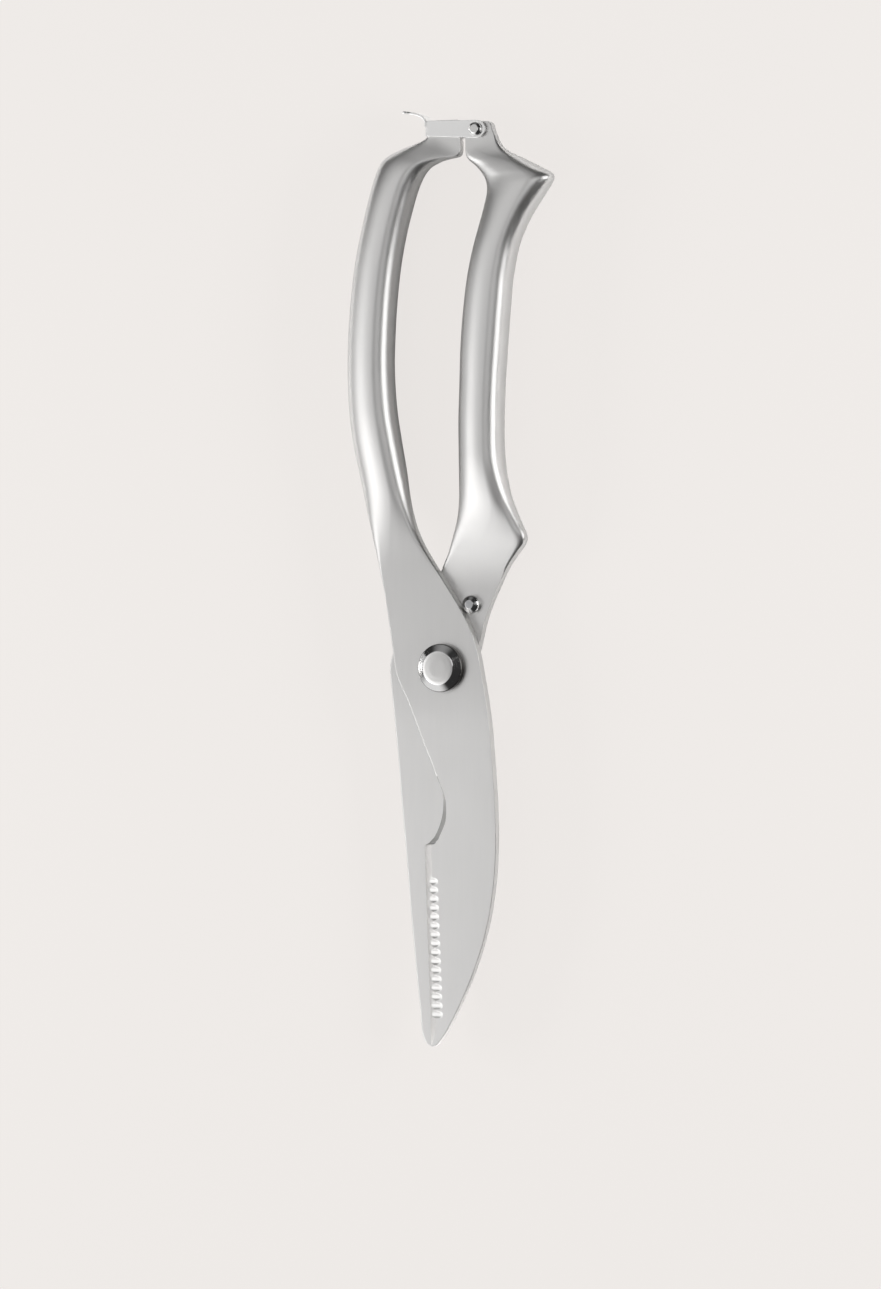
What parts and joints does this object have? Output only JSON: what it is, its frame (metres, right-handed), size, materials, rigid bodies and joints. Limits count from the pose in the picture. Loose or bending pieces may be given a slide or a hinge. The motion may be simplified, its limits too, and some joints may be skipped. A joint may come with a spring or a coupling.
{
  "type": "poultry shears",
  "caption": "All-steel kitchen poultry shears with a notched and toothed blade, loop-like handles and a swinging latch across the handle ends.",
  "frame": {"origin": "centre of the bounding box's base, with the closed shears lying on the backs of their handles", "axes": "+Y from the blade tips to the handles, +Z out of the front face, +X towards the side of the wide blade"},
  "size_m": [0.0606, 0.2514, 0.0103],
  "materials": {
    "satin_steel": "satin, fine brushed",
    "polished_steel": "polished stainless",
    "ground_steel": "ground",
    "spring_steel": "drawn wire",
    "sheet_steel": "bright rolled sheet"
  },
  "bodies": {
    "front": {"front_lever": "satin_steel", "pivot_bolt": "polished_steel", "pivot_sleeve": "ground_steel", "pivot_washer": "ground_steel", "pivot_nut": "polished_steel", "return_spring": "spring_steel"},
    "rear": {"rear_lever": "satin_steel", "stop_rivet": "polished_steel", "latch_rivet": "polished_steel"},
    "latch": {"latch": "sheet_steel"}
  },
  "joints": [
    {"name": "blade_pivot", "type": "hinge", "parent": "front", "child": "rear", "pos_m": [-0.00124, -0.02406, 0.0045], "axis": [0, 0, -1], "range_deg": [0, 30], "deforming": ["return_spring"]},
    {"name": "latch_pivot", "type": "hinge", "parent": "rear", "child": "latch", "pos_m": [0.00836, 0.12004, 0.0045], "axis": [0, 0, -1], "range_deg": [0, 180]}
  ]
}
